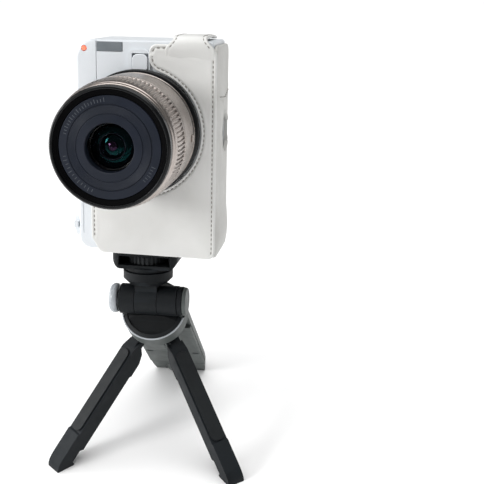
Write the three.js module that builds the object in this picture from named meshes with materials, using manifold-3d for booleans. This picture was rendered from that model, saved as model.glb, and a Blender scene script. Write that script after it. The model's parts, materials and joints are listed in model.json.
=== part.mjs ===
// Compact mirrorless camera in a half case, standing upright on a folding tripod grip.
// Millimetres, +Z up, lens towards -Y, the user's right at +X.
import * as THREE from 'three';
import { mergeVertices } from 'three/addons/utils/BufferGeometryUtils.js';
import Module from 'manifold-3d';

const wasm = await Module();
wasm.setup();

// ---------------------------------------------------------------- driving dimensions
const gap = 0.3; // clearance between neighbouring pieces

const hingeHeight = 96; // tilt axis above the floor
const headTilt = 11.2; // lens up, degrees
const barrelRadius = 9.2; // tilt hinge barrel
const boltRadius = 2.8;

const rearLegSlope = 50; // rear leg below the horizon, degrees
const gripRadius = 19.5;
const gripCentre = [0, 0.5, 89.3]; // centre of the trim ring
const gripLength = 121; // ring to heel, before the floor cuts the heel flat
const underside = -1.6; // flat face under the rear leg

const legPin = { across: 8.6, below: 10.2, along: 18 }; // hinge pin, in the rear leg's own frame
const legFoot = { across: 54.2, front: -43.8 }; // where each leg's centreline meets the floor
const legTwist = 52; // turn of a leg's section about its length, degrees
const legWidth = 10.5;
const legDepth = 11;
const padDepth = 0.9;

const panAxis = { x: -3, y: 0.9 };
const platformTop = 33.5; // above the tilt axis
const platformHalf = 19.6;
const discRadius = 14.8;

const bodyLeft = -35.8; // top plate side of the camera, from the lens axis
const bodyRight = 41.6; // base side
const bodyFront = -20.8;
const bodyBack = 20.6;
const bodyLow = 2;
const bodyHigh = 120.7;
const wall = 2;
const topSeam = -24.05; // joint between the top plate and the two shells
const shellSeam = -3.85; // joint between the front and back shells
const lensHeight = 70.7; // lens axis above the platform

const mountFace = -22.9;
const lensFront = -85.9;
const lensRadius = 33.4;
const frontRadius = 31.6;

const caseThick = 1.6;
const caseRight = 43.5;
const caseFront = -22.6;
const caseLensHole = 35.4;

const fine = 36; // sides of the large round pieces
const medium = 24;
const coarse = 12;

// ---------------------------------------------------------------- materials
const finish = (color, roughness, metalness = 0) =>
  new THREE.MeshStandardMaterial({ color, roughness, metalness });
const whitePlastic = () => finish(0xe4e8ec, 0.45);
const blackPlastic = () => finish(0x1d2125, 0.55);
const greyPlastic = () => finish(0x6d7371, 0.6);
const silver = () => finish(0xd5d8da, 0.3, 0.9);
const steel = () => finish(0x9ea2a5, 0.35, 1);
const blackRubber = () => finish(0x24282c, 0.85);
const leather = () => finish(0xdcdedd, 0.6);
const glass = () => finish(0x10202a, 0.05);

// ---------------------------------------------------------------- solid modelling helpers
const rad = THREE.MathUtils.degToRad;
const vec = (x, y, z) => new THREE.Vector3(x, y, z);

/** A closed three.js geometry as a manifold solid. */
function solid(geometry) {
  const bare = geometry.clone();
  bare.deleteAttribute('normal');
  bare.deleteAttribute('uv');
  const merged = mergeVertices(bare, 1e-4);
  return new wasm.Manifold(new wasm.Mesh({
    numProp: 3,
    vertProperties: new Float32Array(merged.attributes.position.array),
    triVerts: new Uint32Array(merged.index.array),
  }));
}

/** A named mesh made from a manifold solid. */
function piece(name, body, material) {
  const cut = body.getMesh();
  const geometry = new THREE.BufferGeometry();
  geometry.setAttribute('position', new THREE.BufferAttribute(cut.vertProperties, 3));
  geometry.setIndex(new THREE.BufferAttribute(cut.triVerts, 1));
  geometry.computeVertexNormals();
  const mesh = new THREE.Mesh(geometry, material);
  mesh.name = name;
  return mesh;
}

const join = (...bodies) => bodies.reduce((sum, body) => sum.add(body));
const cut = (body, ...tools) => tools.reduce((rest, tool) => rest.subtract(tool), body);

/** A box from three [low, high] spans. */
function block(x, y, z) {
  const geometry = new THREE.BoxGeometry(x[1] - x[0], y[1] - y[0], z[1] - z[0]);
  geometry.translate((x[0] + x[1]) / 2, (y[0] + y[1]) / 2, (z[0] + z[1]) / 2);
  return solid(geometry);
}

/** A round bar or cone along x, y or z; centre holds the other two coordinates in order. */
function rod(axis, radius, span, centre = [0, 0], sides = medium, endRadius = radius) {
  const geometry = new THREE.CylinderGeometry(endRadius, radius, span[1] - span[0], sides);
  const middle = (span[0] + span[1]) / 2;
  if (axis === 'x') {
    geometry.rotateZ(-Math.PI / 2).translate(middle, centre[0], centre[1]);
  } else if (axis === 'y') {
    geometry.translate(centre[0], middle, centre[1]);
  } else {
    geometry.rotateX(Math.PI / 2).translate(centre[0], centre[1], middle);
  }
  return solid(geometry);
}

/** A body turned about the z axis from [radius, height] points that close on themselves or the axis. */
function turned(points, sides = medium) {
  const profile = points.map(([r, z]) => new THREE.Vector2(r, z));
  if (points[0][0] > 0) profile.push(profile[0].clone());
  return solid(new THREE.LatheGeometry(profile, sides).rotateX(Math.PI / 2));
}

/** The same, about the lens axis: heights are y values. */
function turnedLens(points, sides = fine) {
  const profile = points.map(([r, y]) => new THREE.Vector2(r, y));
  if (points[0][0] > 0) profile.push(profile[0].clone());
  return solid(new THREE.LatheGeometry(profile, sides).translate(0, 0, lensHeight));
}

/** Rectangle with its own radius at each corner: low-left, low-right, high-right, high-left. */
function roundedOutline(x, y, [a, b, c, d]) {
  const shape = new THREE.Shape();
  shape.moveTo(x[0] + a, y[0]);
  shape.lineTo(x[1] - b, y[0]);
  if (b) shape.absarc(x[1] - b, y[0] + b, b, -Math.PI / 2, 0);
  shape.lineTo(x[1], y[1] - c);
  if (c) shape.absarc(x[1] - c, y[1] - c, c, 0, Math.PI / 2);
  shape.lineTo(x[0] + d, y[1]);
  if (d) shape.absarc(x[0] + d, y[1] - d, d, Math.PI / 2, Math.PI);
  shape.lineTo(x[0], y[0] + a);
  if (a) shape.absarc(x[0] + a, y[0] + a, a, Math.PI, Math.PI * 1.5);
  return shape;
}

const across = {
  x: new THREE.Matrix4().makeBasis(vec(0, 1, 0), vec(0, 0, 1), vec(1, 0, 0)), // drawn in y, z
  y: new THREE.Matrix4().makeBasis(vec(0, 0, 1), vec(1, 0, 0), vec(0, 1, 0)), // drawn in z, x
  z: new THREE.Matrix4(), // drawn in x, y
};

/** An outline swept straight along one axis, with optional rounded rims. */
function slab(axis, shape, span, rim = 0, curveSegments = 5) {
  const geometry = new THREE.ExtrudeGeometry(shape, {
    depth: span[1] - span[0] - 2 * rim,
    bevelEnabled: rim > 0,
    bevelThickness: rim,
    bevelSize: rim,
    bevelOffset: -rim,
    bevelSegments: 2,
    curveSegments,
  });
  geometry.translate(0, 0, span[0] + rim).applyMatrix4(across[axis]);
  return solid(geometry);
}

/** A disc outline with small teeth round it. */
function toothedOutline(radius, teeth, depth) {
  const shape = new THREE.Shape();
  for (let i = 0; i < teeth; i += 1) {
    const turn = (i / teeth) * Math.PI * 2;
    const step = Math.PI * 2 / teeth;
    const corners = [[radius, 0.05], [radius, 0.5], [radius - depth, 0.62], [radius - depth, 0.93]];
    for (const [r, part] of corners) {
      const angle = turn + step * part;
      if (shape.curves.length === 0 && shape.currentPoint.lengthSq() === 0) {
        shape.moveTo(r * Math.cos(angle), r * Math.sin(angle));
      } else {
        shape.lineTo(r * Math.cos(angle), r * Math.sin(angle));
      }
    }
  }
  shape.closePath();
  return shape;
}

// ---------------------------------------------------------------- frames
const root = new THREE.Group();

const grip = new THREE.Group(); // z out of the ring, y up and back, x right
grip.position.set(...gripCentre);
grip.rotation.x = rad(90 - rearLegSlope);
root.add(grip);

const head = new THREE.Group(); // origin on the tilt axis
head.position.set(0, 0, hingeHeight);
head.rotation.x = -rad(headTilt);
root.add(head);

const turntable = new THREE.Group(); // origin where the pan axis passes the tilt axis
turntable.position.set(panAxis.x, panAxis.y, 0);
head.add(turntable);

const camera = new THREE.Group(); // x from the lens axis, y from the pan axis, z from the platform
camera.position.z = platformTop;
turntable.add(camera);

root.updateMatrixWorld(true);
const toGrip = grip.matrixWorld.clone().invert();
const hingeInGrip = vec(0, 0, hingeHeight).applyMatrix4(toGrip);
const hingeAt = [hingeInGrip.y, hingeInGrip.z];

/** Everything below the floor, seen from a frame. */
function belowFloor(frame) {
  const geometry = new THREE.BoxGeometry(400, 400, 60);
  geometry.translate(0, 0, -30).applyMatrix4(frame.matrixWorld.clone().invert());
  return solid(geometry);
}

// ---------------------------------------------------------------- tripod grip: top and rear leg
const ear = { left: [-19.2, -10], right: [4, 15.6] };
const domeRadius = 16.1;
const rimRadius = 18.4; // outside of the collar's rim, inside the trim ring

function gripHead() {
  const [y, z] = hingeAt;
  const base = rod('z', 17.2, [-9, -4.8], [0, 0]);
  const leftEar = rod('x', barrelRadius, ear.left, hingeAt);
  const rightEar = rod('x', barrelRadius, ear.right, hingeAt);
  const leftPost = block([-15.5, ear.left[1]], [y - 6, y + 6], [-6, z]);
  const rightPost = block([ear.right[0], 13.5], [y - 6, y + 6], [-6, z]);
  const posts = leftPost.add(rightPost).intersect(rod('z', domeRadius, [-9, 20]));
  const bore = rod('x', boltRadius + gap, [-30, 30], hingeAt, coarse);
  const pocket = rod('x', 5, [-20, -15.4], hingeAt, coarse);
  const knuckleRoom = rod('x', barrelRadius + gap, [ear.left[1], ear.right[0]], hingeAt);
  return cut(join(base, leftEar, rightEar, posts), bore, pocket, knuckleRoom);
}

/** Room for the hinge barrel and everything behind it. */
function barrelRoom() {
  const [y, z] = hingeAt;
  const barrel = rod('x', barrelRadius + gap, [-30, 30], hingeAt);
  const posts = block([-30, 30], [y - 6 - gap, 30], [-9, z]);
  return join(barrel, posts);
}

function domeCap() {
  const profile = [[0, -4.5], [domeRadius, -4.5], [domeRadius, -0.7], [13, 0.2], [8, 0.9], [0, 1.2]];
  const dome = turned(profile, fine);
  const scoop = rod('x', 11.5, [-30, 30], [-12, 9.8], fine);
  return cut(dome, barrelRoom(), scoop);
}

function trimRing() {
  const inside = rimRadius + gap;
  const profile = [[inside, -1.3], [gripRadius, -1.3], [gripRadius, -0.8], [19.2, -0.4], [inside, -0.5]];
  return cut(turned(profile, fine), barrelRoom());
}

function gripCollar() {
  const rim = domeRadius + gap;
  const ring = turned([[gripRadius - 2, -11.5], [gripRadius, -11.5], [gripRadius, -1.6], [rimRadius, -1.6],
    [rimRadius, -0.9], [rim, -0.3], [rim, -4.5], [gripRadius - 2, -4.5]], fine);
  const barrel = rod('x', barrelRadius + gap, [-30, 30], hingeAt);
  return cut(ring, barrel);
}

/** Half-round section above the flat underside, along part of the rear leg. */
function halfRound(radius, flat, span) {
  const round = rod('z', radius, span, [0, 0], fine);
  return cut(round, block([-40, 40], [-40, flat], [span[0] - 1, span[1] + 1]));
}

const remoteSpan = [-86, -15];
const bandStart = -100;
const heelStart = -105.5;

function rearShell() {
  const outer = halfRound(gripRadius, underside + 2.3, [bandStart + gap, -11.8]);
  const hollow = halfRound(gripRadius - 2.4, underside - 5, [bandStart + 3, -14.5]);
  const deck = block([-12.6, 12.6], [10.2, 13], [remoteSpan[0] - 2, remoteSpan[1] + 2]);
  const pocket = block([-11.3, 11.3], [12.6, 30], [remoteSpan[0] - gap, remoteSpan[1] + gap]);
  const hull = cut(outer, hollow);
  return cut(hull.add(deck.intersect(outer)), pocket);
}

function rearCover() {
  const plate = block([-19.2, 19.2], [underside, underside + 2], [bandStart + gap, -26.6]);
  const tongue = block([-13, 13], [underside, underside + 2], [-27, -13.4]);
  const groove = block([-30, 30], [underside - 1, underside + 0.5], [-77.6, -76.8]);
  const notch = (x) => block(x, [underside - 1, underside + 1.4], [-78.2, -76.2]);
  return cut(join(plate, tongue), groove, notch([-17.6, -13.6]), notch([13.6, 17.6]));
}

/** The foot under the grip's end, grown by a margin. */
function footShape(margin) {
  const foot = turned([[0, -gripLength - 2], [12.2 + margin, -gripLength - 2], [12.2 + margin, heelStart - 2],
    [10.6 + margin, heelStart + margin], [0, heelStart + margin]], fine);
  return cut(foot.translate(0, 6.6, 0), block([-40, 40], [4 + margin, 40], [-130, -90]));
}

function endBand() {
  const edge = gripRadius - 0.8;
  const profile = [[0, -gripLength], [13, -gripLength], [17.2, -117], [18.4, -108], [edge, bandStart]];
  const cap = turned([...profile, [0, bandStart]], fine);
  const flat = block([-40, 40], [-40, underside], [-130, -90]);
  return cut(cap, flat, footShape(gap), belowFloor(grip));
}

const heelFoot = () => cut(footShape(0), belowFloor(grip));

function remoteBody() {
  const section = rod('z', gripRadius, remoteSpan, [0, 0], fine);
  const bar = section.intersect(block([-11, 11], [12.9, 30], remoteSpan));
  const well = (z, half) => block([-half, half], [17, 30], [z - half, z + half]);
  return cut(bar, well(-30, 5.3), well(-48, 4.3));
}

function legBlock() {
  const outline = new THREE.Shape();
  outline.moveTo(-2.6, -3);
  outline.lineTo(-2.6, -8);
  outline.lineTo(-6.2, -17.2);
  outline.lineTo(6.2, -17.2);
  outline.lineTo(2.6, -8);
  outline.lineTo(2.6, -3);
  outline.closePath();
  const web = slab('z', outline, [-24, -11.8]);
  const cap = rod('z', gripRadius - 2.3, [-11.3, -9.3], [0, 0], fine);
  const roof = block([-16, 16], [-3.5, underside - gap], [-24, -11.2]);
  const neck = block([-2.6, 2.6], [-10, -3], [-24, -11.2]);
  const pinRoom = (side) => {
    const { frame, pinAxis } = legFrame(side);
    const place = toGrip.clone().multiply(frame.matrixWorld);
    return pinRod(pinAxis, 2 + gap, [-6.5 - gap, 5], coarse).transform(place.toArray());
  };
  return cut(join(web, neck, cap, roof), pinRoom(-1), pinRoom(1));
}

function hingeBolt() {
  const shaft = rod('x', boltRadius, [-14.8, 16.2], hingeAt, coarse);
  const collar = rod('x', 8.9, [15.9, 18.7], hingeAt);
  return shaft.add(collar);
}

// ---------------------------------------------------------------- tripod grip: front legs
const legTop = [-14, -26]; // stretch of the raised step on the inner edge
const legNotch = [-79, -89];
const padSpan = [-71, -12];

/** One front leg's frame: x out of the pad face, z up the leg to its hinge pin. */
function legFrame(side) {
  const slope = rad(rearLegSlope);
  const down = vec(0, Math.cos(slope), -Math.sin(slope));
  const up = vec(0, Math.sin(slope), Math.cos(slope));
  const pin = new THREE.Vector3(side * legPin.across, 0, 0)
    .addScaledVector(up, -legPin.below)
    .addScaledVector(down, legPin.along)
    .add(vec(...gripCentre));
  const foot = vec(side * legFoot.across, legFoot.front, 0);
  const along = foot.clone().sub(pin);
  const length = along.length();
  along.normalize();
  const fold = new THREE.Quaternion().setFromUnitVectors(down, along);
  const turn = rad(legTwist);
  const padOut = vec(side * Math.sin(turn), 0, 0).addScaledVector(up, -Math.cos(turn));
  const upLeg = down.clone().negate();
  const sideways = upLeg.clone().cross(padOut);
  const frame = new THREE.Group();
  frame.position.copy(pin);
  frame.quaternion.setFromRotationMatrix(new THREE.Matrix4().makeBasis(padOut, sideways, upLeg));
  frame.quaternion.premultiply(fold);
  frame.updateMatrixWorld(true);
  const pinAxis = down.clone().cross(along).normalize().multiplyScalar(-side);
  const local = pinAxis.applyQuaternion(frame.quaternion.clone().invert());
  return { frame, length, pinAxis: local };
}

/** A round bar through a leg's hinge, along the pin. */
function pinRod(axis, radius, span, sides = medium) {
  const geometry = new THREE.CylinderGeometry(radius, radius, span[1] - span[0], sides);
  geometry.translate(0, (span[0] + span[1]) / 2, 0);
  geometry.applyQuaternion(new THREE.Quaternion().setFromUnitVectors(vec(0, 1, 0), axis));
  return solid(geometry);
}

function legSolid({ frame, length, pinAxis }) {
  const inner = -legDepth / 2;
  const outer = legDepth / 2 - padDepth;
  const tip = -length - 4.5;
  const shape = new THREE.Shape(); // drawn in x, z
  shape.moveTo(outer - 2.5, -5.5);
  shape.lineTo(outer, padSpan[1]);
  shape.lineTo(outer, padSpan[0]);
  shape.lineTo(legDepth / 2, padSpan[0] - 1);
  shape.lineTo(legDepth / 2, tip + 15);
  shape.bezierCurveTo(legDepth / 2, tip + 8, legDepth / 2, tip + 3, inner + 5, tip);
  shape.lineTo(inner, tip);
  shape.lineTo(inner, legNotch[1]);
  shape.lineTo(inner + 2.2, legNotch[1] + 0.5);
  shape.lineTo(inner + 2.2, legNotch[0] - 1.5);
  shape.lineTo(inner, legNotch[0]);
  shape.lineTo(inner, legTop[1] - 1);
  shape.lineTo(inner - 1, legTop[1]);
  shape.lineTo(inner - 1, legTop[0] - 3);
  shape.lineTo(inner + 1.5, legTop[0] + 3);
  shape.closePath();
  const sweep = { depth: legWidth, bevelEnabled: false, curveSegments: 6 };
  const geometry = new THREE.ExtrudeGeometry(shape, sweep);
  geometry.translate(0, 0, -legWidth / 2);
  geometry.applyMatrix4(new THREE.Matrix4().makeBasis(vec(1, 0, 0), vec(0, 0, 1), vec(0, -1, 0)));
  const bar = solid(geometry);
  const neck = block([-2.6, 3.6], [-3.4, 3.4], [-14, 0]);
  const knuckle = pinRod(pinAxis, 4.6, [-3.6, 3.6]);
  const bore = pinRod(pinAxis, 2 + gap, [-20, 20], coarse);
  return cut(join(bar, neck, knuckle), bore, belowFloor(frame));
}

function legPad() {
  const span = [padSpan[0] + 0.6, padSpan[1] - 0.6];
  const outline = roundedOutline([-4.2, 4.2], span, [3.5, 3.5, 3.5, 3.5]);
  const sweep = { depth: padDepth, bevelEnabled: false, curveSegments: 5 };
  const geometry = new THREE.ExtrudeGeometry(outline, sweep);
  geometry.applyMatrix4(new THREE.Matrix4().makeBasis(vec(0, 1, 0), vec(0, 0, 1), vec(1, 0, 0)));
  geometry.translate(legDepth / 2 - padDepth + gap, 0, 0);
  return solid(geometry);
}

// ---------------------------------------------------------------- tripod grip: head and platform
function tiltKnuckle() {
  const x = [ear.left[1] + gap, ear.right[0] - gap];
  const barrel = rod('x', barrelRadius, x);
  const neck = block(x, [-6.5, 6.5], [0, 12]);
  const centre = [panAxis.x, panAxis.y];
  const skirt = rod('z', 11.6, [11.2, 14.4], centre, fine, discRadius);
  const disc = rod('z', discRadius, [14.4, 19.2], centre, fine);
  const bore = rod('x', boltRadius + gap, [-30, 30], [0, 0], coarse);
  return cut(join(barrel, neck, skirt, disc), bore);
}

function lockButton() {
  const cap = turned([[0, -26], [6.2, -26], [8.2, -25.2], [9, -23.6], [9, -21.6], [8.2, -20.6], [0, -20.6]]);
  const stem = rod('z', 4.5, [-20.9, -17.2], [0, 0], coarse);
  const turn = new THREE.Matrix4().makeBasis(vec(0, 1, 0), vec(0, 0, 1), vec(1, 0, 0));
  return cap.add(stem).transform(turn.toArray());
}

function platform() {
  const front = new THREE.Shape(); // drawn in x, z
  const neckTop = 21.6;
  front.moveTo(-15.2, neckTop);
  front.lineTo(15.2, neckTop);
  front.quadraticCurveTo(18.4, neckTop + 1.2, platformHalf, 27);
  front.lineTo(platformHalf, 32.4);
  front.lineTo(-platformHalf, 32.4);
  front.lineTo(-platformHalf, 27);
  front.quadraticCurveTo(-18.4, neckTop + 1.2, -15.2, neckTop);
  const geometry = new THREE.ExtrudeGeometry(front, { depth: 24, bevelEnabled: false, curveSegments: 5 });
  geometry.rotateX(Math.PI / 2).translate(0, 12, 0);
  const plan = slab('z', roundedOutline([-19.6, 19.6], [-12, 12], [5, 5, 5, 5]), [20, 34]);
  const body = solid(geometry).intersect(plan);
  const neck = rod('z', 13.4, [19.5, 22], [0, 0], fine);
  const window = block([-15.3, 15.3], [-13, 0], [23.9, 29.3]);
  const wheelRoom = rod('z', 12, [23.9, 29.3]);
  const screwRoom = rod('z', 3.7, [22.6, 40], [0, 0], coarse);
  return cut(join(body, neck), window, wheelRoom, screwRoom);
}

function thumbwheel() {
  const wheel = slab('z', toothedOutline(11.6, 26, 0.9), [24.3, 28.9]);
  return cut(wheel, rod('z', 3.4, [20, 40], [0, 0], coarse));
}

const cameraScrew = () => rod('z', 3, [23, 38.5], [0, 0], coarse);

const platformPad = () => cut(
  slab('z', roundedOutline([-18.6, 18.6], [-11, 11], [4.2, 4.2, 4.2, 4.2]), [32.6, 33.4]),
  rod('z', 3.7, [20, 40], [0, 0], coarse),
);

// ---------------------------------------------------------------- camera body
const bodyShape = () => roundedOutline([bodyLow, bodyHigh], [bodyLeft, bodyRight], [7, 11, 2, 2]);

/** The whole outer body: outline swept front to back with softly rounded rims. */
const outerBody = () => slab('y', bodyShape(), [bodyFront, bodyBack], 1.6);

/** The space inside the body's walls. */
function innerBody() {
  const shape = roundedOutline(
    [bodyLow + wall, bodyHigh - wall],
    [bodyLeft + wall, bodyRight - wall],
    [5, 9, 0.5, 0.5],
  );
  return slab('y', shape, [bodyFront + wall, bodyBack - wall]);
}

const screenHinge = [21.2, 112]; // y, z of the screen's hinge line
const screenRoom = { x: [-20.5, 34.5], y: [16.4, 30], z: [24.6, 116.5] };
const badge = { x: [-23.4, -9.3], z: [114.3, 119.1] };
const baseSlab = { x: [39.9, bodyRight], y: [-17.5, 17.5], z: [5, 117.5] };
const shutterAt = [-9, 15.5]; // y, z of the shutter button's axis
const dialAt = [7.5, 50.5];
const recordAt = [9.5, 33];
const wheelAt = [12, 14.5];
const shoeAt = [2, lensHeight];
const lampAt = [-30.9, 115.6]; // tally lamp, x and z
const socketAt = [12.1, 67.9]; // base socket, y and z

function shellParts() {
  const shell = cut(outerBody(), innerBody());
  const bottomSocket = rod('z', 5.8, [0, 6], [0, 0], coarse);
  const right = block([topSeam + gap / 2, 60], [-30, 30], [-5, 130]);
  const base = block([baseSlab.x[0] - gap, 60], [baseSlab.y[0] - gap, baseSlab.y[1] + gap],
    [baseSlab.z[0] - gap, baseSlab.z[1] + gap]);
  const rest = cut(shell.intersect(right), bottomSocket, base);
  const frontHalf = block([-60, 60], [-30, shellSeam - gap / 2], [-5, 130]);
  const backHalf = block([-60, 60], [shellSeam + gap / 2, 30], [-5, 130]);
  return { front: rest.intersect(frontHalf), back: rest.intersect(backHalf) };
}

function cameraFront() {
  const hump = slab('y', roundedOutline([100, 115.8], [-5.9, 6.4], [0, 4, 4, 0]), [-22.2, bodyFront + 1]);
  const mountHole = rod('y', 27.4, [-40, 0], [0, lensHeight], fine);
  const releaseHole = block([-3.7, 5.6], [-30, bodyFront + 1.5], [104.4, 113.6]);
  const badgeHole = block([badge.x[0] - gap, badge.x[1] + gap], [-30, bodyFront + 0.9],
    [badge.z[0] - gap, badge.z[1] + gap]);
  const ringRoom = rod('y', 34.5, [-40, bodyFront - 0.1], [0, lensHeight], fine);
  return cut(shellParts().front.add(cut(hump, ringRoom)), mountHole, releaseHole, badgeHole);
}

function cameraBack() {
  const room = block(screenRoom.x, screenRoom.y, screenRoom.z);
  const floor = block([-22, 36], [15, 19], [22.6, 118]);
  const padHole = rod('y', 7.8, [15, 30], [8, 12.6]);
  const menuHole = rod('y', 2.6, [15, 30], [-10, 15], coarse);
  const boss = block([-1, 17], [16.5, 19], [4.5, 21]);
  const knuckle = (x) => join(
    rod('x', 2.1, x, screenHinge, coarse),
    block(x, [15.5, screenHinge[0]], [screenHinge[1] - 1.6, screenHinge[1] + 1.6]),
  );
  const back = cut(join(shellParts().back, floor, boss), room, padHole, menuHole);
  return join(back, knuckle([-14, -9.3]), knuckle([23.3, 28]));
}

function topPlate() {
  const left = block([-60, topSeam - gap / 2], [-30, 30], [-5, 130]);
  const cap = cut(outerBody(), innerBody()).intersect(left);
  const rodHole = (radius, [y, z]) => rod('x', radius, [-50, -30], [y, z], coarse);
  const [y, z] = shoeAt;
  const shoe = block([-50, bodyLeft + 1.6], [y - 9.6, y + 9.6], [z - 10.8, z + 10.8]);
  const seat = block([bodyLeft + 1, bodyLeft + 3.6], [y - 11, y + 11], [z - 12, z + 12]);
  const lamp = rod('y', 1.7, [-30, -17], lampAt, coarse);
  const crease = block([-33.2, -32.5], [-30, bodyFront + 0.4], [11, 44]);
  const mountHole = rod('y', 27.4, [-40, 0], [0, lensHeight], fine);
  return cut(cap.add(seat), shoe, rodHole(3.3, shutterAt), rodHole(3, dialAt), rodHole(3.7, recordAt),
    rodHole(3, wheelAt), lamp, crease, mountHole);
}

function basePlate() {
  const plate = block(baseSlab.x, baseSlab.y, baseSlab.z);
  const boss = rod('x', 5.2, [bodyRight - 0.5, bodyRight + 0.5], socketAt);
  const door = block([30, 60], [-15.5, 15.5], [6.7, 40.3]);
  const socket = rod('x', 3.5, [30, 60], socketAt, coarse);
  return cut(plate.add(boss), door, socket);
}

const batteryDoor = () => cut(
  block(baseSlab.x, [-15.2, 15.2], [7, 40]),
  block([41.1, 50], [-4, 4], [34, 37]),
);

function accessoryShoe() {
  const [y, z] = shoeAt;
  const plate = block([bodyLeft - 3.4, bodyLeft + 1.3], [y - 9.3, y + 9.3], [z - 10.5, z + 10.5]);
  const slot = block([bodyLeft - 2.2, bodyLeft - 0.1], [y - 7, y + 12], [z - 9.3, z + 9.3]);
  const mouth = block([-50, bodyLeft], [y - 7, y + 12], [z - 6.3, z + 6.3]);
  return cut(plate, slot, mouth);
}

const topRod = (radius, span, [y, z], sides = medium) => rod('x', radius, span, [y, z], sides);

function zoomLever() {
  const [y, z] = shutterAt;
  const ring = topRod(8.3, [-39.2, bodyLeft - gap], shutterAt);
  const tab = block([-39, -36.6], [y - 11, y - 6], [z - 1.8, z + 1.8]);
  return cut(ring.add(tab), topRod(5.6, [-45, -37.2], shutterAt), topRod(3.3, [-45, -30], shutterAt, coarse));
}

const shutterButton = () => join(
  topRod(5.2, [-40.4, -37.9], shutterAt),
  topRod(2.9, [-38.2, -32], shutterAt, coarse),
);

function modeDial() {
  const [y, z] = dialAt;
  const knob = slab('x', toothedOutline(8.2, 18, 0.5), [-40.6, bodyLeft - gap]).translate(0, y, z);
  return knob.add(topRod(2.6, [-37, -31], dialAt, coarse));
}

const recordButton = () => topRod(3.3, [-37.2, -32], recordAt, coarse);

function controlDial() {
  const [y, z] = wheelAt;
  const wheel = slab('x', toothedOutline(6.6, 16, 0.5), [-39.4, bodyLeft - gap]).translate(0, y, z);
  return wheel.add(topRod(2.6, [-37, -31], wheelAt, coarse));
}

const releaseButton = () => slab(
  'y',
  roundedOutline([104.8, 113.2], [-3.3, 5.2], [0.8, 3, 3, 0.8]),
  [-23.2, bodyFront + 0.1],
  0.3,
);

function screenPanel() {
  const outline = roundedOutline([25.2, 106.6], [-19.9, 33.9], [2.5, 2.5, 2.5, 2.5]);
  const panel = slab('y', outline, [17, 21.3], 0.6);
  const glassRoom = block([-16.5, 30.5], [16, 17.7], [29, 103]);
  return cut(panel, glassRoom);
}

function screenArm() {
  const [y, z] = screenHinge;
  const arm = block([-9, 23], [17, 20.6], [107, 109.4]);
  const bend = block([-9, 23], [y - 2.1, y], [108, z]);
  return join(arm, bend, rod('x', 2.1, [-9, 23], screenHinge, coarse));
}

const controlPad = () => join(
  rod('y', 7.4, [19.6, 21.9], [8, 12.6]),
  rod('y', 3, [17.5, 20], [8, 12.6], coarse),
);

const menuButton = () => rod('y', 2.3, [17, 21.4], [-10, 15], coarse);

const gripSocket = () => cut(
  rod('z', 5.4, [bodyLow, 9], [0, 0], coarse),
  rod('z', 3.5, [0, 7.6], [0, 0], coarse),
);

const battery = () => block([-10, 38.8], [-17.4, -4.6], [9.4, 40]);

const mainBoard = () => cut(
  block([-21, 36], [9.6, 11.2], [26, 116]),
  block([-30, -12], [5, 15], [40, 60]),
  block([10, 40], [5, 15], [95, 130]),
);

const sensorUnit = () => join(
  block([-17, 17], [-1.4, 6], [lensHeight - 20, lensHeight + 20]),
  block([-12, 12], [-2.8, -1], [lensHeight - 9, lensHeight + 9]),
);

const shutterUnit = () => cut(
  block([-21, 21], [-9.4, -4.4], [lensHeight - 23, lensHeight + 23]),
  block([-12.5, 12.5], [-20, 0], [lensHeight - 9.5, lensHeight + 9.5]),
);

const mountRing = () => turnedLens([[25, -20.4], [25, mountFace], [30.6, mountFace], [30.6, -21.1],
  [27.1, -21.1], [27.1, -20.4]]);

const badgePlate = () => block(badge.x, [bodyFront - 0.1, bodyFront + 0.6], badge.z);
const tallyLamp = () => rod('y', 1.4, [bodyFront - 0.05, -17.2], lampAt, coarse);

// ---------------------------------------------------------------- lens
const ringSpan = [-79.3, -57.7];

const lensBaseRing = () => turnedLens([[29, -28.2], [32.2, -28.2], [32.2, -26], [34, -25.6], [34, -23.2],
  [29, -23.2]]);

const lensBarrel = () => turnedLens([[30.6, -57.4], [32.9, -57.4], [lensRadius, -54], [lensRadius, -31.5],
  [32.4, -30.8], [32.4, -28.5], [30.6, -28.5]]);

function controlRing() {
  const outer = lensRadius - 0.5;
  const [start, end] = ringSpan;
  const tube = turnedLens([[30.6, start], [outer, start], [outer, end], [30.6, end]]);
  const ribs = slab('y', toothedOutline(lensRadius + 0.1, 54, 0.7), [-77.8, -62]).translate(0, 0, lensHeight);
  const middle = rod('y', lensRadius - 1.2, [-90, -40], [0, lensHeight], fine);
  return tube.add(cut(ribs, middle));
}

const frontRing = () => turnedLens([[27.4, -82.3], [29.9, -82.6], [30.1, lensFront], [31, lensFront],
  [frontRadius, -85.2], [33.1, -80.6], [33.5, -79.9], [33.5, -79.6], [27.4, -79.6]]);

const nameRing = () => turnedLens([[12.3, -77.4], [17.2, -81.8], [17.6, -82.2], [21.8, -82.2], [22.1, -82.5],
  [27.1, -82.5], [27.1, -79.2], [20, -78.4], [12.3, -74.5]]);

const frontElement = () => turnedLens([[0, -77.6], [5, -77.2], [9, -76.2], [11.9, -74.6], [11.9, -70],
  [0, -70]], medium);

const lensSleeve = () => turnedLens([[12.3, -74], [20, -77.8], [30.3, -78.9], [30.3, -56], [28.6, -55],
  [28.6, -24], [24.6, -24], [24.6, -12], [20, -12], [20, -60], [12.3, -66]], medium);

const lensSwitch = () => block([lensRadius - 0.1, lensRadius + 0.7], [-42, -36],
  [lensHeight - 2, lensHeight + 2]);

const switchRoom = () => block([lensRadius - 0.5, 40], [-45, -33], [lensHeight - 2.5, lensHeight + 2.5]);

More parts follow.
